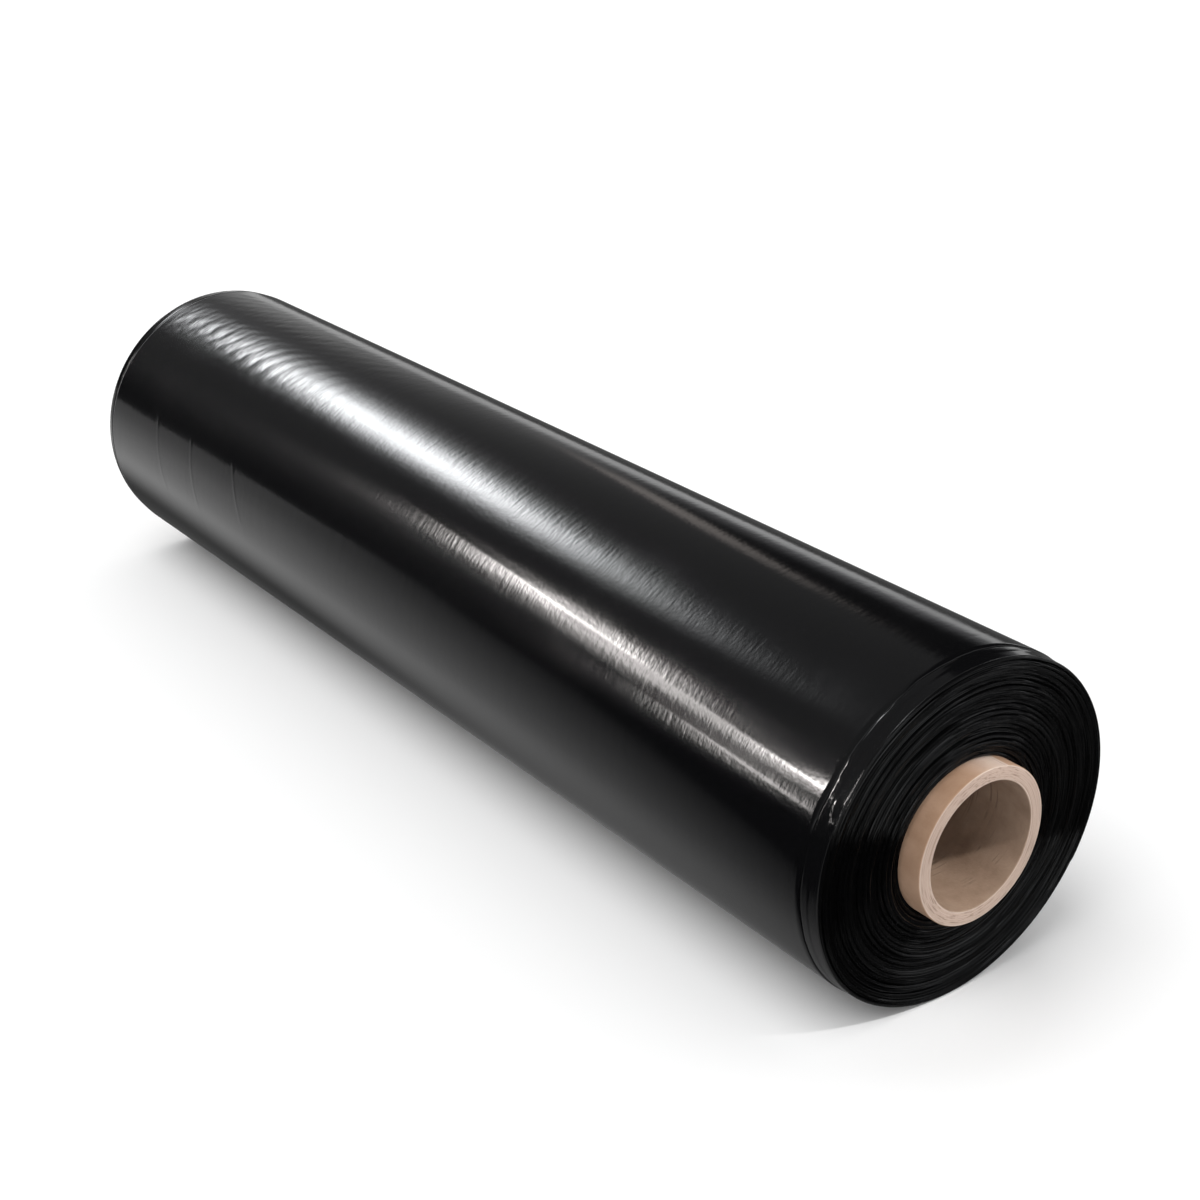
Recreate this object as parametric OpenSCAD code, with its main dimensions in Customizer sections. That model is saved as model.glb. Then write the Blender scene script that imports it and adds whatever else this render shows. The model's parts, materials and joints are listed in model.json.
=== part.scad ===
// Roll of plastic sheeting on a paperboard core, lying on its side.
// The roll's axis runs along X, and it rests on the plane z = 0.

/* [Sheet] */
// Width of the folded sheet, which is the length of the wound film along X
film_length = 850; // [400:5:1500]
// Diameter of the roll over its outer turn
roll_dia = 210; // [160:1:300]
// Thickness of one turn of the folded sheet
turn_t = 2.8; // [2:0.1:5]
// Angle of the loose end, measured below the horizontal at the back
tail_angle = 30; // [0:10:60]
// Width of the flat spot that the roll lies on
flat_width = 30; // [20:1:50]

/* [Turn edges] */
// Depth of the groove between two turns at the ends
groove_depth = 1.6; // [0.4:0.1:3]
// How far a turn can lie off the middle of the core, along X
wander = 1.2; // [0:0.1:3]
// Number of turns in which the edges wander out and back
wander_turns = 5.3; // [3:0.1:12]

/* [Outer layers] */
// How far short of the near end the outer layers stop
near_step = 13; // [4:1:40]
// How far short of the far end the outer layers stop
far_step = 10; // [4:1:40]
// Thickness of the outer layers that stop short
step_t = 0.8; // [0.3:0.1:1.5]

/* [Core] */
// Bore of the core
core_bore = 76.2; // [50:0.1:80]
// Wall of the core
core_wall = 9; // [4:0.5:12]
// How far the core stands out of the film at each end
core_stick_out = 12; // [4:1:40]
// Play between the core and the first turn
wrap_play = 0.1; // [0:0.05:0.5]

/* [Hidden] */

// Facets of the preview
core_facets = 96;
turn_facets = 60;

// Length by which a cut runs past what it cuts
cut_past = 2;

roll_r = roll_dia / 2;
core_r = core_bore / 2 + core_wall;
core_length = film_length + 2 * core_stick_out;
film_bore_r = core_r + wrap_play;

// The winding is two stacks of half turns, each about its own centre. The centres lie half a turn's
// thickness apart, so that each half turn runs on into the next one as a spiral.
centre_shift = turn_t / 2;
wound_r = roll_r - step_t;
turn_count = ceil((wound_r + turn_t - film_bore_r) / turn_t);

// Share of a turn's thickness, from its inner groove, at which its edge stands out furthest
crest_at = 0.4;

// The flat spot sets the height of the roll's axis. The loose end makes the roll fuller at the back,
// and the axis is shifted to keep the whole roll centred on y = 0.
axis_z = sqrt(pow(roll_r, 2) - pow(flat_width / 2, 2));
axis_y = -centre_shift * (1 + cos(tail_angle)) / 2;

// Stands the rotation axis of what was drawn about Z along X, at the roll's place.
module on_roll_axis() {
  translate([0, axis_y, axis_z])
    rotate([0, 90, 0])
      children();
}

// Place along X of the middle of a turn. s counts the turns inward from the loose end.
function turn_offset(s) = wander * sin(360 * s / wander_turns);

// Groove and crest of one turn's edge, at the end on the given side: 1 is the near end, -1 the far one.
function groove_point(r, s, side) = [r, side * (film_length / 2 - groove_depth) + turn_offset(s)];
function crest_point(r, s, side) = [r + crest_at * turn_t, side * film_length / 2 + turn_offset(s)];

// Points of one stack of half turns: the near end, the outside, then the far end. r is the stack's
// outer radius under the outer layers, and first is the place of its outer half turn in the winding.
function near_points(r, first) = [
  for (i = [turn_count - 1 : -1 : 0])
    let (groove_r = r - (i + 1) * turn_t)
      each [groove_point(groove_r, i + first, 1), crest_point(groove_r, i + first, 1)]
];
function outer_points(r) = let (end = film_length / 2) [
  [r, end - groove_depth],
  [r, end - near_step],
  [r + step_t, end - near_step],
  [r + step_t, far_step - end],
  [r, far_step - end],
  [r, groove_depth - end]
];
function far_points(r, first) = [
  for (i = [0 : turn_count - 1])
    let (groove_r = r - (i + 1) * turn_t)
      each [crest_point(groove_r, i + first, -1), groove_point(groove_r, i + first, -1)]
];

// One stack of half turns, about its own centre.
module half_winding(r, first) {
  rotate_extrude(angle = 180, $fn = turn_facets)
    polygon(concat(near_points(r, first), outer_points(r), far_points(r, first)));
}

// Paperboard tube, open from end to end.
module core() {
  color("#c09a78")
    on_roll_axis()
      difference() {
        cylinder(h = core_length, r = core_r, center = true, $fn = core_facets);
        cylinder(h = core_length + cut_past, d = core_bore, center = true, $fn = core_facets);
      }
}

// Wound sheet: one solid, with the turns' edges in both ends.
module film_roll() {
  color("#16171a")
    difference() {
      on_roll_axis()
        rotate([0, 0, 90 - tail_angle])
          union() {
            translate([centre_shift, 0, 0])
              half_winding(wound_r + centre_shift, 0);
            rotate([0, 0, 180])
              half_winding(wound_r, 0.5);
          }
      on_roll_axis()
        cylinder(h = core_length, r = film_bore_r, center = true, $fn = core_facets);
      translate([-core_length / 2, -roll_r, -roll_r])
        cube([core_length, 2 * roll_r, roll_r]);
    }
}

core();
film_roll();
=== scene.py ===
# %% [markdown]
# # A roll of black plastic sheeting
# A length of folded polythene film is wound on a paperboard core and lies on its side. Two things make
# it look like film and not like a black cylinder: the edges of its turns in the ends, and the way its
# slack, glossy outer layer bends the lights. So most of the work here goes into the shape of that
# layer and into what the studio shows it.
#
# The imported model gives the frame: where the roll's axis is, how long it is and where it stands.

# %% Load the frame
import json
import math

import bpy
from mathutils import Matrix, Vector


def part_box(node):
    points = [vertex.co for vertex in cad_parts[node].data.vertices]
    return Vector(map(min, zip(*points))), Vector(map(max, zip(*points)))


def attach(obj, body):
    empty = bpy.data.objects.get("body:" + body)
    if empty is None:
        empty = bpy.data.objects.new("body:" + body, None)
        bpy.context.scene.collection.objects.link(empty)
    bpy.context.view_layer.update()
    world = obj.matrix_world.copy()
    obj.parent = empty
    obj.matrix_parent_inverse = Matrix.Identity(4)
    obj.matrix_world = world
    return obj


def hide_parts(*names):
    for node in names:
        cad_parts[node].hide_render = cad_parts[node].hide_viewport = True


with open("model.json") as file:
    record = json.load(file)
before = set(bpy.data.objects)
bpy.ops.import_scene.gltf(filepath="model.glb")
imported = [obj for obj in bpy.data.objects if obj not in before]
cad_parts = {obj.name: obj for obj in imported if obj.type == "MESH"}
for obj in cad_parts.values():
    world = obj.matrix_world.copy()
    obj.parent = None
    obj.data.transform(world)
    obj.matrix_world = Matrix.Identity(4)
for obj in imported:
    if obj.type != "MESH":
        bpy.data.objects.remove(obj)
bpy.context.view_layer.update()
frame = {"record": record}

# %% Sizes of the roll, in metres
# The bore of the core gives the place of the axis.
bore = next(m for m in frame["record"]["mounts"] if m["name"] == "core_bore")
AXIS = Vector(bore["pos_m"])
BORE_R = bore["dims"]["r_mm"] / 1000
CORE_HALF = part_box("core")[1][0]
CORE_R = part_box("core")[1][2] - AXIS.z
CORE_OUT = 0.012
FILM_HALF = CORE_HALF - CORE_OUT
ROLL_R = 0.105
TURN_T = 0.0028
STEP_T = 0.0008
NEAR_STEP = 0.013
FAR_STEP = 0.010
GROOVE_DEPTH = 0.0016
WANDER = 0.0012
WANDER_TURNS = 5.3
TAIL_BELOW = math.radians(30)
print("axis", tuple(AXIS), "core", CORE_R, CORE_HALF, "film half length", FILM_HALF)

# %% [markdown]
# ## Node trees as expressions
# Both the shapes and the finishes are node trees. Wiring them by hand hides the sums, so one small
# class wraps a socket: arithmetic on it adds Math nodes, and every other node comes from `node`.

# %% A socket that can be added and multiplied
class Wire:
    """An output socket. Arithmetic on it adds Math nodes to its tree."""

    def __init__(self, tree, socket):
        self.tree = tree
        self.socket = socket

    def math(self, operation, *others):
        return node(self.tree, "ShaderNodeMath", {"operation": operation}, [self, *others])

    def __add__(self, other):
        return self.math("ADD", other)

    def __mul__(self, other):
        return self.math("MULTIPLY", other)

    def __sub__(self, other):
        return self.math("SUBTRACT", other)

    def __truediv__(self, other):
        return self.math("DIVIDE", other)

    def __rsub__(self, other):
        return (self * -1.0) + other

    def __pow__(self, other):
        return self.math("POWER", other)

    __radd__ = __add__
    __rmul__ = __mul__


def node(tree, kind, settings=None, inputs=None, output=0):
    """Adds a node, sets its settings first and then its sockets, and returns one output."""
    made = tree.nodes.new(kind)
    for name, value in (settings or {}).items():
        if name == "stops":
            while len(made.color_ramp.elements) < len(value):
                made.color_ramp.elements.new(0.5)
            for element, (position, colour) in zip(made.color_ramp.elements, value):
                element.position = position
                element.color = (*colour, 1)
        else:
            setattr(made, name, value)
    pairs = inputs.items() if isinstance(inputs, dict) else enumerate(inputs or [])
    for key, value in pairs:
        if isinstance(value, Wire):
            tree.links.new(value.socket, made.inputs[key])
        else:
            made.inputs[key].default_value = value
    return Wire(tree, made.outputs[output])


# %% Helpers for values
def sine(wire):
    return wire.math("SINE")


def cosine(wire):
    return wire.math("COSINE")


def smaller(wire, limit):
    return wire.math("MINIMUM", limit)


def larger(wire, limit):
    return wire.math("MAXIMUM", limit)


def hump(wire, centre, width):
    """A soft bump: 1 at the centre, and gone two widths away."""
    offset = (wire - centre) / width
    return (offset * offset * -1.0).math("EXPONENT")


def ease(wire, low, high):
    """0 at low, 1 at high, and smooth between them. low may be the larger one."""
    settings = {"interpolation_type": "SMOOTHSTEP", "clamp": True}
    return node(wire.tree, "ShaderNodeMapRange", settings, {0: wire, 1: low, 2: high})


def fixed(wire, value):
    """The same value everywhere that the wire has one."""
    return wire * 0.0 + value


def vector(tree, x, y, z):
    return node(tree, "ShaderNodeCombineXYZ", {}, [x, y, z])


def parts(wire):
    """The three numbers of a vector."""
    return [node(wire.tree, "ShaderNodeSeparateXYZ", {}, [wire], i) for i in range(3)]


def noise(tree, place, scale, detail=2.0, roughness=0.5):
    """Smooth noise from -1 to 1."""
    sockets = {"Vector": place, "Scale": scale, "Detail": detail, "Roughness": roughness}
    return node(tree, "ShaderNodeTexNoise", {}, sockets) * 2 - 1


# %% [markdown]
# ## The wound film
# The film is one long strip, so its shape follows one rule: the radius falls by one turn's thickness
# for each turn inward. Geometry Nodes suit that. A flat grid is bent into each face of the roll: the
# outer layer, the turns' edges in the two ends and the bore. Each face uses the same spiral, so their
# edges meet and can be merged into a closed skin.
#
# It is made as two closed pieces, because the end that faces the camera needs finer turns: the roll
# with its outer layer, and the last two centimetres of the turns at the near end.

# %% A tree with named inputs
def new_tree(name, inputs):
    tree = bpy.data.node_groups.new(name, "GeometryNodeTree")
    tree.interface.new_socket("Geometry", in_out="OUTPUT", socket_type="NodeSocketGeometry")
    for label, (kind, value) in inputs.items():
        socket = tree.interface.new_socket(label, in_out="INPUT", socket_type=kind)
        if value is not None:
            socket.default_value = value
    source = tree.nodes.new("NodeGroupInput")
    wires = {s.name: Wire(tree, s) for s in source.outputs if s.name}
    return tree, wires


FLOAT = "NodeSocketFloat"
COUNT = "NodeSocketInt"
MATERIAL = "NodeSocketMaterial"
TURN = 2 * math.pi
TAIL = -math.pi / 2 - TAIL_BELOW
winding_inputs = {
    "Half length": (FLOAT, FILM_HALF),
    "Outer radius": (FLOAT, ROLL_R),
    "Turn thickness": (FLOAT, TURN_T),
    "Turns": (COUNT, 22),
    "Layer step": (FLOAT, STEP_T),
    "Groove depth": (FLOAT, GROOVE_DEPTH),
    "Wander": (FLOAT, WANDER),
    "Wander turns": (FLOAT, WANDER_TURNS),
    "Bore radius": (FLOAT, CORE_R + 0.0001),
    "Seed": (FLOAT, 4.0),
    "Steps": (COUNT, 216),
    "Film": (MATERIAL, None),
    "Edges": (MATERIAL, None),
    "Cut": (MATERIAL, None),
}


# %% The winding
# w counts turns inward from the loose end. Each turn is two half circles about two centres. The rows
# of a grid lie closest where the roll mirrors the lamps, which is on the side of the camera.
class Winding:
    """One node tree that bends flat grids into faces of the roll."""

    def __init__(self, name, seen_angle=0.95, crowding=0.62):
        self.tree, self.size = new_tree(name, winding_inputs)
        self.seen_at = (seen_angle - TAIL) / TURN
        self.crowding = crowding
        self.faces = []

    def turns_at(self, v):
        """Spreads rows, given as turns from 0, with the closest ones at the seen angle."""
        shift = sine((v - self.seen_at) * TURN) + math.sin(self.seen_at * TURN)
        return v - shift * (self.crowding / TURN)

    def angle(self, w):
        """Angle about the axis from the top, towards the side that faces -Y."""
        return w * TURN + TAIL

    def radius(self, w):
        whole = (w + 0.00001).math("FLOOR")
        half = smaller(larger(w - whole, 0.0), 0.5)
        fallen = whole + (1 - cosine(half * TURN)) * 0.5
        return self.size["Outer radius"] + self.size["Turn thickness"] * (1 - fallen)

    def offset(self, w):
        """Place of a turn along X, the same rule as in the solid."""
        return sine(w / self.size["Wander turns"] * TURN) * self.size["Wander"]

    def grid(self, columns, rows):
        """A flat grid with its two coordinates, each from 0 to 1."""
        sockets = {"Size X": 1.0, "Size Y": 1.0, "Vertices X": columns, "Vertices Y": rows}
        mesh = node(self.tree, "GeometryNodeMeshGrid", {}, sockets)
        position = node(self.tree, "GeometryNodeInputPosition")
        u, v, _ = parts(position)
        return mesh, u + 0.5, v + 0.5

    def bend(self, mesh, x, angle, radius, material, flip=False):
        """Moves a grid's points onto the roll, above the floor it lies on."""
        y = AXIS.y - sine(angle) * radius
        z = larger(cosine(angle) * radius + AXIS.z, 0.0)
        position = vector(self.tree, x, y, z)
        moved = node(self.tree, "GeometryNodeSetPosition", {}, {"Geometry": mesh, "Position": position})
        if flip:
            moved = node(self.tree, "GeometryNodeFlipFaces", {}, [moved])
        moved = node(self.tree, "GeometryNodeSetShadeSmooth", {}, {"Geometry": moved})
        sockets = {"Geometry": moved, "Material": self.size[material]}
        self.faces.append(node(self.tree, "GeometryNodeSetMaterial", {}, sockets))

    def strip(self, columns, profile, material="Film"):
        """A face round the outside. profile(s, w) gives the place along X and the radius, with s from
        0 to 1 towards +X. The last row goes back to the start, which makes the loose end's ledge."""
        mesh, s, v = self.grid(columns, self.size["Steps"] + 2)
        v = v * (self.size["Steps"] + 1) / self.size["Steps"]
        once_round = (v - 0.0001).math("LESS_THAN", 1.0)
        w = smaller(self.turns_at(v), 1.0) * once_round
        x, radius = profile(s, w)
        self.bend(mesh, x, self.angle(w), radius, material, True)

    def turned_end(self, across, edge, side, material="Edges"):
        """The edges of all turns. edge(c, w) gives the place along X and the radius, with c across
        one turn from its inside."""
        mesh, c, v = self.grid(across, self.size["Steps"] * self.size["Turns"] + 1)
        w = self.turns_at(v * self.size["Turns"])
        loose = (v - 0.000001).math("LESS_THAN", 0.0)
        c = c + (c.math("ROUND") - c) * loose
        x, radius = edge(c, w)
        self.bend(mesh, x, self.angle(w), larger(radius, self.size["Bore radius"]), material, side < 0)

    def bore(self, start, end):
        mesh, u, v = self.grid(2, self.size["Steps"] + 1)
        x = (1 - u) * start(v) + u * end(v)
        self.bend(mesh, x, self.angle(self.turns_at(v)), self.size["Bore radius"], "Edges")

    def close(self):
        """Joins the faces and merges their edges into one closed skin."""
        joined = self.tree.nodes.new("GeometryNodeJoinGeometry")
        for face in self.faces:
            self.tree.links.new(face.socket, joined.inputs[0])
        merged = node(self.tree, "GeometryNodeMergeByDistance", {},
                      {"Geometry": Wire(self.tree, joined.outputs[0]), "Distance": 0.00001})
        real = node(self.tree, "GeometryNodeRealizeInstances", {}, [merged])
        output = self.tree.nodes.new("NodeGroupOutput")
        self.tree.links.new(real.socket, output.inputs[0])
        print(self.tree.name, "has", len(self.tree.nodes), "nodes")


# %% [markdown]
# ## The slack outer layer
# The outer layer isn't a true cylinder. It lies in long flats and ridges along the roll, it has slanted
# wrinkles near the far end where the winding was slack, and it is tucked in near the near end. All of
# these are small next to the radius, but a gloss surface shows slopes and not heights, so a few tenths
# of a millimetre are plenty.

# %% Wrinkles of the far end
def wrinkles(tree, x, angle, spot):
    """Slanted wrinkles: cushions between sharp valleys, which turn along the roll towards the top."""
    above = larger(0.36 - angle, -0.15)
    jitter = noise(tree, spot, 2.8, 2.0, 0.5) * 1.7
    slant = angle * 4.0 - above * above * 9.0 + jitter
    cushion = sine((x / 0.0185 + slant) * math.pi).math("ABSOLUTE")
    small = sine((x / 0.0088 + slant * 1.7) * math.pi).math("ABSOLUTE")
    patch = ease(noise(tree, spot, 13.0, 2.0), -0.35, 0.35) * 0.9 + 0.1
    reach = ease(x, -0.05, -0.26) * hump(angle, 0.26, 0.34)
    low_reach = ease(x, -0.10, -0.28) * hump(angle, 0.66, 0.30) * 0.55
    top_reach = ease(x, 0.02, -0.20) * hump(angle, -0.16, 0.24) * 0.55
    size = cushion * 0.00018 * patch + small * 0.00006 * (1.15 - patch)
    return size * (reach + low_reach + top_reach)


# %% Slackness of the outer layer
def slack(tree, x, angle):
    """How far the outer layer stands off the true spiral, in metres."""
    round_y = sine(angle)
    round_z = cosine(angle)
    spot = vector(tree, x * 1.2, round_y, round_z)
    broad = noise(tree, spot, 2.1, 1.0) * 0.00020
    drawn = vector(tree, x * 0.9 + 3.0, round_y * 4, round_z * 4)
    along = noise(tree, drawn, 2.0, 2.0) * 0.00005
    quilt = vector(tree, x * 45 + angle * 7, round_y * 12, round_z * 12)
    fine = noise(tree, quilt, 1.0, 2.0) * 0.000024
    return broad + along + fine + wrinkles(tree, x, angle, spot)


# %% Long ridges
def ridge(x, angle, at, drift, width, height, start, end):
    """A ridge along the roll between two places. It drifts round the roll by drift for each metre."""
    length = ease(x, start - 0.05, start + 0.03) * ease(x, end + 0.06, end)
    return hump(angle - x * drift, math.radians(at), width) * length * height


def long_ridges(x, angle):
    first = ridge(x, angle, 46.4, 0.55, 0.020, 0.00006, 0.0, 0.44)
    second = ridge(x, angle, 53.0, 0.58, 0.020, 0.00006, 0.22, 0.44)
    return first + second


# %% The edges of the outer layer
def near_edge(tree, angle):
    """Where the outer layer ends near the near end."""
    place = vector(tree, sine(angle), cosine(angle), 0.0)
    tilt = cosine(angle) * 0.0026 - sine(angle) * 0.0031
    return tilt + (FILM_HALF - NEAR_STEP) + noise(tree, place, 2.6, 3.0, 0.6) * 0.0022


def far_edge(tree, angle):
    place = vector(tree, sine(angle), cosine(angle), 4.0)
    slant = hump(angle, 0.35, 0.6) * 0.0018 - hump(angle, 1.4, 0.5) * 0.0016
    return FAR_STEP - FILM_HALF + slant + noise(tree, place, 2.0, 2.0) * 0.0007


# %% [markdown]
# ## The turns' edges
# Seen from the end, a roll of folded sheet is a stack of thick turns, and each turn is itself a few
# layers thick. The edge of a turn is therefore a rounded ridge with finer lines in it. It wanders in
# and out, and some turns lie closer than others.

# %% Shape of the turns' edges
RIM_ROUND = 0.0004
RIM_DROP = 0.00045


def outermost(w):
    """1 in the outermost turn, whose edge has no groove on its outside."""
    return ease(w, 1.0, 0.95)


def rim_drop(turn):
    """How much the outermost turns' edges are tucked in. turn counts grooves inward from 0."""
    return ease(turn, 1.3, 0.3) * RIM_DROP


def turn_edges(roll, side, leaf):
    """Gives the function of one end's edges. leaf is the height of the layers' fine lines."""
    tree = roll.tree
    size = roll.size

    def edge(c, w):
        angle = roll.angle(w)
        inner = ease(w, 0.3, 1.2)
        drift = vector(tree, sine(angle) * 0.55 + size["Seed"], cosine(angle) * 0.55, w * 2.3 + side * 9)
        uneven = noise(tree, drift, 1.0, 2.0) * inner

        def crowd_at():
            """How turns crowd together, the same for both sides of a groove."""
            place = vector(tree, sine(angle) * 0.5 + size["Seed"], cosine(angle) * 0.5, (w - c) * 1.1)
            return noise(tree, place, 1.4, 1.0) * ease(w - c, 0.0, 1.0) * ease(w - c, 20.0, 18.0)
        dome = larger(sine(c * math.pi), 0.0) ** 0.55
        height = dome * (uneven * 0.6 + 1) * size["Groove depth"]
        if leaf:
            height = height + sine(c * TURN * 3.0 + uneven * 3.0) * dome * inner * leaf
        outside = ease(c, 0.35, 0.55) * outermost(w)
        full = size["Groove depth"] - ease(c, 0.8, 1.0) * RIM_ROUND
        height = height + (full - height) * outside
        radius = roll.radius(w) - size["Layer step"] - size["Turn thickness"] * (1 - c)
        radius = radius + crowd_at() * 0.0007 - rim_drop(w - c + 1)
        wandered = roll.offset(w) + (roll.offset(w - 1) - roll.offset(w)) * c ** 3
        free = ease(radius - size["Bore radius"], 0.0, 0.0012)
        radius = larger(radius, size["Bore radius"])
        x = (size["Half length"] - size["Groove depth"]) * side + (height * side + wandered) * free
        return (x + lean(roll, w, radius) if side > 0 else x), radius

    return edge


def lean(roll, w, radius):
    """How far the near end leans out of square: most at the top of the back."""
    angle = roll.angle(w)
    return (cosine(angle) * 0.0026 - sine(angle) * 0.0031) * (radius / ROLL_R)


def rim_place(roll, side, w):
    """Place along X of the outermost turn's outer corner."""
    full = roll.size["Half length"] - RIM_ROUND
    groove = roll.size["Half length"] - roll.size["Groove depth"]
    x = (groove + (full - groove) * outermost(w)) * side + roll.offset(w - 1)
    return x + lean(roll, w, roll.radius(w) - roll.size["Layer step"] - rim_drop(w)) if side > 0 else x


def bore_place(roll, side, v):
    """Place along X of the innermost turn's inner corner. v goes once round."""
    x = fixed(v, (FILM_HALF - GROOVE_DEPTH) * side)
    return x + lean(roll, roll.turns_at(v), roll.size["Bore radius"]) if side > 0 else x


# %% The roll with its outer layer
roll = Winding("Roll and outer layer")
JOINT_X = FILM_HALF - 0.020


def outer_layer(s, w):
    """The outer layer, with more columns towards the far end, where its wrinkles are."""
    angle = roll.angle(w)
    spread = s + sine(s * math.pi) * -0.11
    start = far_edge(roll.tree, angle)
    end = near_edge(roll.tree, angle)
    x = start + (end - start) * spread
    fade = ease(x, FILM_HALF - NEAR_STEP, FILM_HALF - 0.035) * 0.8 + 0.2
    fade = fade * ease(x, FAR_STEP - FILM_HALF, FAR_STEP - FILM_HALF + 0.014)
    joined = ease(w, 0.0, 0.04) * ease(w, 1.0, 0.96) * ease(s, 1.0, 0.994) * ease(s, 0.0, 0.006)
    off = (slack(roll.tree, x, angle) * fade + long_ridges(x, angle)) * joined
    return x, roll.radius(w) + off


FAR_BEAD = 0.0016


def near_layer_end(s, w):
    """The cut edge of the outer layer near the near end, which is rounded."""
    x = near_edge(roll.tree, roll.angle(w)) + sine(s * math.pi) * 0.0003
    return x, roll.radius(w) - roll.size["Layer step"] * s


def far_layer_end(s, w):
    """The cut edge of the outer layer near the far end, which is pressed flat."""
    fall = 1 - s
    x = far_edge(roll.tree, roll.angle(w)) - fall * FAR_BEAD
    return x, roll.radius(w) - roll.size["Layer step"] * ease(fall, 0.5, 1.0)


def recess(s, w):
    """Under the near edge, back to where the near turns start."""
    start = near_edge(roll.tree, roll.angle(w))
    return start + (JOINT_X - start) * s, roll.radius(w) - roll.size["Layer step"]


RISE = STEP_T * 0.6


def far_band(s, w):
    """The layers past the far edge, which show their own edges and so are duller."""
    end = far_edge(roll.tree, roll.angle(w)) - FAR_BEAD
    rim = rim_place(roll, -1, w)
    risen = ease(s, 0.0, 0.3) * ease(s, 1.0, 0.86) * RISE
    return rim + (end - rim) * s, roll.radius(w) - roll.size["Layer step"] - (1 - s) * rim_drop(w) + risen


def joint_face(c, w):
    radius = roll.radius(w) - roll.size["Layer step"] - roll.size["Turn thickness"] * (1 - c)
    return fixed(w, JOINT_X), radius


roll.strip(320, outer_layer)
roll.strip(4, near_layer_end)
roll.strip(6, far_layer_end, "Cut")
roll.strip(3, recess)
roll.strip(9, far_band, "Edges")
roll.turned_end(4, turn_edges(roll, -1, 0.0), -1)
roll.turned_end(2, joint_face, 1)
roll.bore(lambda v: bore_place(roll, -1, v), lambda v: fixed(v, JOINT_X))
roll.close()

# %% The near turns
near = Winding("Near turns", crowding=0.45)


def near_band(s, w):
    """The layers that stick out past the outer one: tapered, with a thin edge of their own."""
    angle = near.angle(w)
    tree = near.tree
    rim = rim_place(near, 1, w)
    spread = 1 - (1 - s) ** 1.5
    x = JOINT_X + (rim - JOINT_X) * spread
    from_rim = rim - x
    edge = near_edge(tree, angle)
    risen = ease(x, edge - 0.0003, edge + 0.0006) * RISE
    place = vector(tree, sine(angle), cosine(angle), 7.0)
    lip_at = noise(tree, place, 3.0, 2.0) * 0.0016 + 0.0068
    lip = ease(from_rim, lip_at, lip_at - 0.0005) * 0.00016
    crease = vector(tree, x * 120, sine(angle) * 15, cosine(angle) * 15)
    pucker = larger(noise(tree, crease, 1.0, 2.0), 0.0) * -0.0010
    puckered = hump(angle, 1.04, 0.24) + hump(angle, 0.56, 0.12) * 0.4 + 0.04
    shown = ease(from_rim, NEAR_STEP + 0.004, NEAR_STEP - 0.002) * ease(s, 1.0, 0.95) * ease(s, 0.0, 0.05)
    taper = larger(1 - from_rim / NEAR_STEP, 0.0) * (rim_drop(w) + RISE)
    drop = (lip + pucker * puckered) * shown + taper - risen * ease(s, 0.0, 0.05)
    return x, near.radius(w) - near.size["Layer step"] - drop


def near_back(c, w):
    radius = near.radius(w) - near.size["Layer step"] - near.size["Turn thickness"] * (1 - c)
    return fixed(w, JOINT_X), radius


near.strip(30, near_band)
near.turned_end(16, turn_edges(near, 1, 0.00020), 1)
near.turned_end(2, near_back, -1)
near.bore(lambda v: fixed(v, JOINT_X), lambda v: bore_place(near, 1, v))
near.close()

# %% [markdown]
# ## Finishes
# Black film has almost no colour of its own. What tells is its gloss, which varies a little where it
# was rubbed or dulled, and a fine orange-peel from the blowing of the film, both of which break up the
# edges of a reflection.

# %% A material and its surface
def new_material(name):
    material = bpy.data.materials.new(name)
    material.use_nodes = True
    material.node_tree.nodes.clear()
    return material, material.node_tree


def finish(tree, sockets):
    """A Principled surface with the given sockets, on the material's output."""
    surface = node(tree, "ShaderNodeBsdfPrincipled", {}, sockets)
    out = tree.nodes.new("ShaderNodeOutputMaterial")
    tree.links.new(surface.socket, out.inputs["Surface"])


def object_place(tree):
    return node(tree, "ShaderNodeTexCoord", {}, {}, "Object")


def bump(tree, height, strength, distance):
    return node(tree, "ShaderNodeBump", {},
                {"Height": height, "Strength": strength, "Distance": distance})


def mix_colour(tree, factor, first, second):
    return node(tree, "ShaderNodeMix", {"data_type": "RGBA"}, {0: factor, 6: first, 7: second}, 2)


# %% Black film
film, tree = new_material("black_film")
spot = object_place(tree)
x, y, z = parts(spot)
round_at = (AXIS.y - y).math("ARCTAN2", z - AXIS.z)
rubbed = noise(tree, spot, 9.0, 4.0, 0.6)
peel = noise(tree, spot, 420.0, 2.0, 0.5)
drawn = noise(tree, vector(tree, x * 0.35, y, z), 95.0, 3.0, 0.6)
hatch = noise(tree, vector(tree, x * 3.2, y, z), 70.0, 2.0, 0.6)
brushed = noise(tree, vector(tree, x * 9.0, y, z), 24.0, 3.0, 0.6)


def crease(at, drift, start, end):
    """A fold round the roll at a place along X, which drifts along it. Angles are in degrees."""
    reach = ease(round_at, math.radians(start), math.radians(start + 8))
    reach = reach * ease(round_at, math.radians(end), math.radians(end - 12))
    return hump(x - (round_at - math.radians(75)) * drift, at, 0.0018) * reach


creases = crease(-0.337, 0.034, 58, 108) + crease(-0.280, 0.032, 62, 112) + crease(-0.2105, 0.053, 60, 96)
upper = ease(round_at, 0.80, 0.62)
height = hatch * (upper * 0.16 + 0.07) + drawn * 0.14 + peel * 0.12 + brushed * 0.20
height = height + creases * (rubbed + 0.5)
finish(tree, {
    "Base Color": (0.0026, 0.0026, 0.003, 1),
    "Roughness": 0.115 + ease(rubbed, -0.1, 0.7) * 0.08,
    "Normal": bump(tree, height, 0.6, 0.0002),
})

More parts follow.
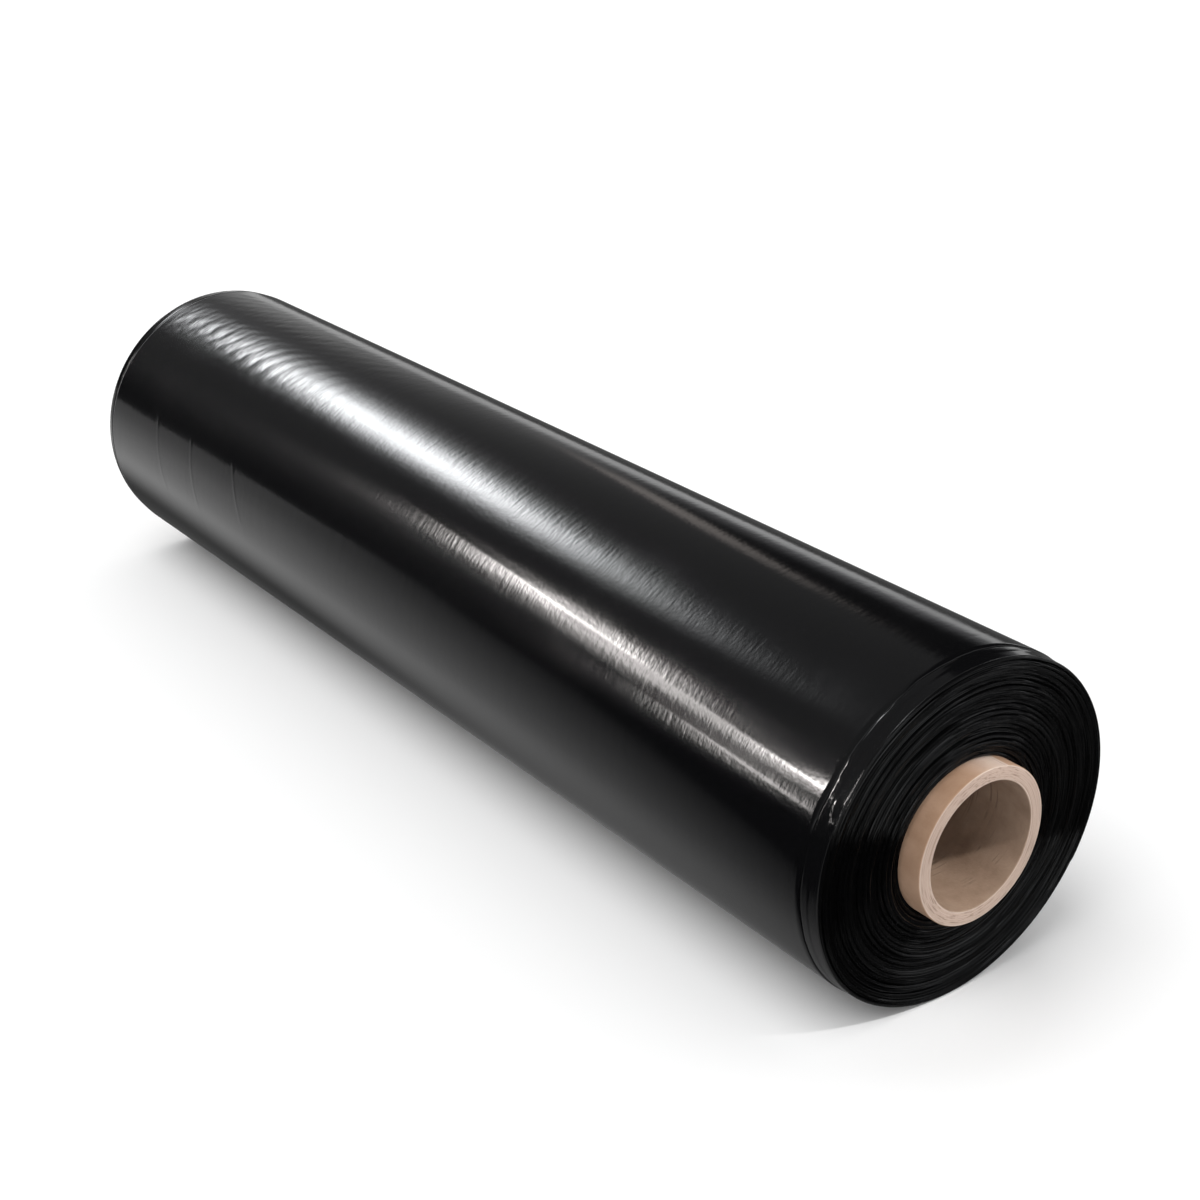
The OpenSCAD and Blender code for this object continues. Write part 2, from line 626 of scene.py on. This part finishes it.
# %% Film edges
edges, tree = new_material("film_edges")
spot = object_place(tree)
x, y, z = parts(spot)
y = y - AXIS.y
z = z - AXIS.z
radius = (y * y + z * z).math("SQRT")
sector = noise(tree, spot, 14.0, 2.0)
lines = node(tree, "ShaderNodeTexNoise", {"noise_dimensions": "1D"},
             {"W": radius + sector * 0.0004, "Scale": 1500.0, "Detail": 2.0})
finish(tree, {
    "Base Color": (0.0018, 0.0018, 0.002, 1),
    "Roughness": 0.13 + sector * 0.04,
    "Specular IOR Level": 0.36,
    "Normal": bump(tree, lines, 1.0, 0.0013),
})

# %% The cut edge of the outer layer, which is stretched pale
cut, tree = new_material("cut_edge")
spot = object_place(tree)
finish(tree, {
    "Base Color": (0.07, 0.07, 0.073, 1),
    "Roughness": 0.35 + noise(tree, spot, 40.0, 2.0) * 0.1,
})

# %% Make the film's mesh
def made_by(tree, name, materials):
    """Runs a Geometry Nodes tree on a new object and returns its result as a plain mesh."""
    start = bpy.data.meshes.new(name + "_start")
    piece = bpy.data.objects.new(name, start)
    bpy.context.scene.collection.objects.link(piece)
    modifier = piece.modifiers.new("shape", "NODES")
    modifier.node_group = tree
    for item in tree.interface.items_tree:
        if item.in_out == "INPUT" and item.name in materials:
            modifier[item.identifier] = materials[item.name]
    evaluated = piece.evaluated_get(bpy.context.evaluated_depsgraph_get())
    result = bpy.data.meshes.new_from_object(evaluated)
    piece.modifiers.remove(modifier)
    piece.data = result
    result.name = name
    result.set_sharp_from_angle(angle=math.radians(55))
    return piece


finishes = {"Film": film, "Edges": edges, "Cut": cut}
wound_film = made_by(roll.tree, "wound_film", finishes)
near_turns = made_by(near.tree, "near_turns", finishes)
for piece in (wound_film, near_turns):
    triangles = sum(len(p.vertices) - 2 for p in piece.data.polygons)
    print(piece.name, "triangles", triangles)
    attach(piece, "root")
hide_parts("film_roll")
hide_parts("film_roll")

# %% [markdown]
# ## The paperboard core
# The core is wound from strips of grey and brown paper on a slant. Its cut ends are paler and show the
# plies as thin rings, its outer face is smooth kraft, and its edges are slightly rounded and furred.

# %% Turn the core
CORE_STEPS = 192
SEAM = math.radians(-20) % TURN


def turned_core():
    """A tube with rounded edges, turned from its outline."""
    soft = 0.0006
    outline = []
    for side in (1, -1):
        for radius in (CORE_R, BORE_R) if side > 0 else (BORE_R, CORE_R):
            inward = -1 if radius == CORE_R else 1
            arc = [math.pi / 2 * i / 4 for i in range(5)]
            if (side > 0) == (radius == CORE_R):
                points = [(side * (CORE_HALF - soft + soft * math.sin(a)),
                           radius + inward * soft * (1 - math.cos(a))) for a in arc]
            else:
                points = [(side * (CORE_HALF - soft + soft * math.cos(a)),
                           radius + inward * soft * (1 - math.sin(a))) for a in arc]
            outline += points
    return outline


outline = turned_core()
print("outline points", len(outline))
rows = []
verts = []
for i in range(CORE_STEPS):
    angle = TURN * i / CORE_STEPS
    past_seam = (angle - SEAM) % TURN
    ply = 0.0007 * max(0.0, 1 - past_seam / 0.9)
    for x, radius in outline:
        radius = radius - ply * (radius > CORE_R - 0.001)
        verts.append((x, AXIS.y - math.sin(angle) * radius, AXIS.z + math.cos(angle) * radius))
count = len(outline)
faces = []
for i in range(CORE_STEPS):
    j = (i + 1) % CORE_STEPS
    for k in range(count):
        m = (k + 1) % count
        faces.append((i * count + k, j * count + k, j * count + m, i * count + m))
core_mesh = bpy.data.meshes.new("paper_core")
core_mesh.from_pydata(verts, [], faces)
core_mesh.shade_smooth()
paper_core = bpy.data.objects.new("paper_core", core_mesh)
bpy.context.scene.collection.objects.link(paper_core)

# %% Paperboard
board, tree = new_material("paperboard")
spot = object_place(tree)
x, y, z = parts(spot)
y = y - AXIS.y
z = z - AXIS.z
radius = (y * y + z * z).math("SQRT")
round_at = (AXIS.y - y).math("ARCTAN2", z - AXIS.z)
face = ease(radius, BORE_R + 0.0002, BORE_R + 0.0008) * ease(radius, CORE_R - 0.0002, CORE_R - 0.0008)
inside = ease(radius, BORE_R + 0.0008, BORE_R + 0.0002)
mottle = noise(tree, spot, 60.0, 4.0, 0.6)
grain = noise(tree, spot, 700.0, 3.0, 0.7)
plies = node(tree, "ShaderNodeTexNoise", {"noise_dimensions": "1D"},
             {"W": radius + mottle * 0.0001, "Scale": 2400.0, "Detail": 1.0}) * 2 - 1
turned = vector(tree, radius * 1300, round_at * 13, 0.0)
dashes = ease(noise(tree, turned, 1.0, 3.0, 0.65), 0.04, 0.30)
slanted = vector(tree, x * 60 + round_at * 4, x * 900 - round_at * 30, 0.0)
scratches = ease(noise(tree, slanted, 0.5, 2.0), 0.14, 0.30) * ease(mottle, -0.1, 0.2)
rims = hump(radius, CORE_R - 0.0005, 0.0004) + hump(radius, BORE_R + 0.0005, 0.0004)
# The outer face's kraft colour, made darker all over: painted shade for the shade that falls on it.
kraft_with_painted_shade = mix_colour(tree, mottle * 0.8 + 0.5, (0.27, 0.16, 0.097, 1), (0.41, 0.265, 0.18, 1))
pale = mix_colour(tree, plies * 0.6 + 0.5, (0.35, 0.245, 0.19, 1), (0.50, 0.39, 0.325, 1))
pale = mix_colour(tree, dashes * 0.6, pale, (0.13, 0.075, 0.05, 1))
pale = mix_colour(tree, rims * (mottle * 0.5 + 0.5), pale, (0.72, 0.62, 0.55, 1))
brown = mix_colour(tree, mottle * 0.6 + 0.5, (0.15, 0.09, 0.057, 1), (0.36, 0.26, 0.19, 1))
brown = mix_colour(tree, scratches * 0.5, brown, (0.10, 0.06, 0.04, 1))
colour = mix_colour(tree, face, kraft_with_painted_shade, pale)
colour = mix_colour(tree, inside, colour, brown)
finish(tree, {
    "Base Color": colour,
    "Roughness": 0.75 + grain * 0.1,
    "Normal": bump(tree, grain * 0.4 + plies * face * 0.6 + mottle * 0.3, 0.6, 0.0003),
})
core_mesh.materials.append(board)
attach(paper_core, "root")
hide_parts("core")

# %% [markdown]
# ## The studio
# The film shows the studio like a dark mirror. The tone of each stretch of the roll was traced back to
# the direction it mirrors: a soft panel beyond the far end, small panels to the side, a dim wall,
# dark above it, and a pale floor, whose reflection is painted on a glowing card with a painted falloff
# that gets darker away from the roll and a painted shadow of the roll. Paper needs plain soft light
# from the front, which the roll's side doesn't mirror.

# %% Camera
CAMERA = Vector((1.00704, -0.68970, 0.65589))
YAW = 2.49089
PITCH = -0.43799
FOCAL_PX = 1928.4
IMAGE_PX = 1200
SENSOR = 36.0
look = Vector((math.cos(PITCH) * math.cos(YAW), math.cos(PITCH) * math.sin(YAW), math.sin(PITCH)))
camera_data = bpy.data.cameras.new("camera")
camera_data.sensor_width = SENSOR
camera_data.lens = SENSOR * FOCAL_PX / IMAGE_PX
camera = bpy.data.objects.new("camera", camera_data)
camera.location = CAMERA
camera.rotation_euler = look.to_track_quat("-Z", "Y").to_euler()
bpy.context.scene.collection.objects.link(camera)
bpy.context.scene.camera = camera

# %% Directions in the studio
def towards(azimuth, elevation):
    """Unit vector to a direction in degrees: azimuth from +X to +Y, elevation above the floor."""
    a = math.radians(azimuth)
    e = math.radians(elevation)
    return Vector((math.cos(e) * math.cos(a), math.cos(e) * math.sin(a), math.sin(e)))


def along(tree, wire, direction):
    """How far a vector goes along a direction."""
    return node(tree, "ShaderNodeVectorMath", {"operation": "DOT_PRODUCT"},
                {0: wire, 1: tuple(direction)}, "Value")


def panel(tree, ray, azimuth, elevation, width, height, tilt=0.0, power=2.0):
    """A soft panel: 1 in the middle, and gone past its half width and half height, in degrees."""
    middle = towards(azimuth, elevation)
    right = Vector((0, 0, 1)).cross(middle).normalized()
    up = middle.cross(right)
    t = math.radians(tilt)
    across = right * math.cos(t) + up * math.sin(t)
    upward = up * math.cos(t) - right * math.sin(t)
    h = (along(tree, ray, across) / math.radians(width)).math("ABSOLUTE") ** power
    v = (along(tree, ray, upward) / math.radians(height)).math("ABSOLUTE") ** power
    front = ease(along(tree, ray, middle), 0.0, 0.5)
    return ((h + v) * -1.0).math("EXPONENT") * front


# %% World
world = bpy.data.worlds.new("studio")
bpy.context.scene.world = world
world.use_nodes = True
tree = world.node_tree
tree.nodes.clear()
ray = node(tree, "ShaderNodeTexCoord", {}, {}, "Generated")
height = node(tree, "ShaderNodeSeparateXYZ", {}, [ray], 2)
path = tree.nodes.new("ShaderNodeLightPath")
seen = Wire(tree, path.outputs["Is Camera Ray"])
mirrored = Wire(tree, path.outputs["Is Glossy Ray"])
side_dark = ease(along(tree, ray, towards(225, 0)), 0.55, 0.85) * ease(height, 0.38, 0.10)
back_dark = ease(along(tree, ray, towards(48, 0)), -0.05, 0.03) * ease(height, 0.11, 0.17)
wall = ease(height, 0.20, 0.07) * 0.85
room = 0.16 * (1 - side_dark * 0.85) * (1 - back_dark * 0.95)
room = room + panel(tree, ray, 158.0, 4.0, 12.0, 12.0) * 0.75
dim = mix_colour(tree, ease(height, 0.17, 0.10) * (1 - side_dark), room, wall)
end_dark = panel(tree, ray, 184.0, 0.0, 19.0, 20.0, power=4.0)
dim = mix_colour(tree, end_dark, dim, (0.0, 0.0, 0.0, 1))
brown_strip = panel(tree, ray, 139.6, 23.0, 1.5, 8.0, power=4.0) * 0.7
far_panel = panel(tree, ray, 181.8, 37.1, 9.6, 3.6, tilt=24.0) * 18
side_panel = panel(tree, ray, 217.2, 24.1, 4.0, 1.5, tilt=-31.0) * 50
long_panel = panel(tree, ray, 223.6, 19.2, 4.8, 1.5, tilt=-31.0) * 17
near_panel = panel(tree, ray, 230.4, 17.9, 1.4, 2.9) * 68
low_panel = panel(tree, ray, 229.8, 7.6, 3.4, 1.1, tilt=-45.0) * 24
back_panel = panel(tree, ray, 128.0, 9.0, 9.0, 5.0) * 0.3
end_panel = panel(tree, ray, 8.0, 14.0, 45.0, 22.0) * 1.4
glow = far_panel + back_panel + end_panel
white = mix_colour(tree, seen, (0.80, 0.80, 0.80, 1), (1, 1, 1, 1))


def tinted(strength, colour):
    """A panel's light in its own colour."""
    return node(tree, "ShaderNodeVectorMath", {"operation": "SCALE"}, {0: colour, "Scale": strength})


def summed(first, second):
    return node(tree, "ShaderNodeVectorMath", {"operation": "ADD"}, [first, second])


warm = side_panel + long_panel + near_panel + low_panel
studio = summed(tinted(glow, (0.96, 0.98, 1.0)), tinted(warm, (1.0, 0.95, 0.93)))
studio = summed(studio, tinted(brown_strip, (1.0, 0.9, 0.84)))
studio = summed(studio, dim)
shade = mix_colour(tree, mirrored, white, studio)
background = node(tree, "ShaderNodeBackground", {}, {"Color": shade, "Strength": 1.0})
out = tree.nodes.new("ShaderNodeOutputWorld")
tree.links.new(background.socket, out.inputs["Surface"])

# %% Lamps
def soft_sun(name, energy, spread, azimuth, elevation):
    """A wide sun from one direction."""
    lamp = bpy.data.lights.new(name, "SUN")
    lamp.energy = energy
    lamp.angle = math.radians(spread)
    holder = bpy.data.objects.new(name, lamp)
    holder.rotation_euler = towards(azimuth, elevation).to_track_quat("Z", "Y").to_euler()
    holder.visible_glossy = False
    bpy.context.scene.collection.objects.link(holder)


soft_sun("key_light", 1.62, 50, -95, 62)

# A small spot from above on the near end of the core, whose paper is all that shows it.
SPOT_WAY = towards(20, 56)
SPOT_FROM = AXIS + Vector((CORE_HALF, 0, 0)) + SPOT_WAY * 0.7
spot_data = bpy.data.lights.new("end_spot", "SPOT")
spot_data.energy = 30
spot_data.spot_size = math.radians(8.0)
spot_data.spot_blend = 0.8
spot_data.shadow_soft_size = 0.05
end_spot = bpy.data.objects.new("end_spot", spot_data)
end_spot.location = SPOT_FROM
end_spot.rotation_euler = SPOT_WAY.to_track_quat("Z", "Y").to_euler()
end_spot.visible_glossy = False
end_spot.visible_camera = False
bpy.context.scene.collection.objects.link(end_spot)

# %% Floor
floor_mesh = bpy.data.meshes.new("floor")
FLOOR_HALF = 12.0
FLOOR_Z = -0.0004
corners = [(-1, -1), (1, -1), (1, 1), (-1, 1)]
floor_mesh.from_pydata([(FLOOR_HALF * a, FLOOR_HALF * b, FLOOR_Z) for a, b in corners], [], [(0, 1, 2, 3)])
floor = bpy.data.objects.new("floor", floor_mesh)
bpy.context.scene.collection.objects.link(floor)
pale_floor_with_painted_reflection, tree = new_material("pale_floor_with_painted_reflection")
spot = object_place(tree)
x, y, z = parts(spot)
path = tree.nodes.new("ShaderNodeLightPath")
mirrored = Wire(tree, path.outputs["Is Glossy Ray"])
diffuse = node(tree, "ShaderNodeBsdfDiffuse", {}, {"Color": (0.93, 0.93, 0.93, 1)})
# For glossy rays the floor is a glowing card with its light and shade painted on. Its pale part ends
# at a line that runs past the near end, and a painted shadow of the roll darkens the strip beside it.
EDGE_POINT = Vector((0.205, -0.330))
EDGE_ANGLE = math.radians(37)
left = (y - EDGE_POINT.y) * math.cos(EDGE_ANGLE) - (x - EDGE_POINT.x) * math.sin(EDGE_ANGLE)
# Painted pool of light: the card brightens away from the pale part's edge.
pale_edge_and_painted_pool = smaller(larger(left / 0.55, 0.0), 1.0) ** 0.68
away = (y - AXIS.y).math("ABSOLUTE")
# Painted falloff: the card dims away from the roll.
reach = ((larger(away - 0.15, 0.0) / -0.25).math("EXPONENT") * 0.72 + 0.42)
# Painted shadow of the roll on the strip beside it.
painted_shadow_depth = ease(x, -0.25, 0.35) * 0.30 + 0.09
shadow = painted_shadow_depth + (1 - painted_shadow_depth) * ease(away + x * 0.045, 0.074, 0.150)
# Painted shade past the near end and behind the roll.
painted_shade_past_end_and_behind = ease(x, 0.52, 0.40) * ease(y, 0.02, -0.04) * 0.78 + 0.22
strength = pale_edge_and_painted_pool * reach * shadow * painted_shade_past_end_and_behind
# The floor's painted reflection: a glowing card that only glossy rays see.
painted_floor_glow = node(tree, "ShaderNodeEmission", {}, {"Color": (1, 1, 1, 1), "Strength": strength})
shown = node(tree, "ShaderNodeMixShader", {}, {0: mirrored, 1: diffuse, 2: painted_floor_glow})
out = tree.nodes.new("ShaderNodeOutputMaterial")
tree.links.new(shown.socket, out.inputs["Surface"])
floor_mesh.materials.append(pale_floor_with_painted_reflection)

# %% Colour handling
bpy.context.scene.view_settings.view_transform = "Standard"
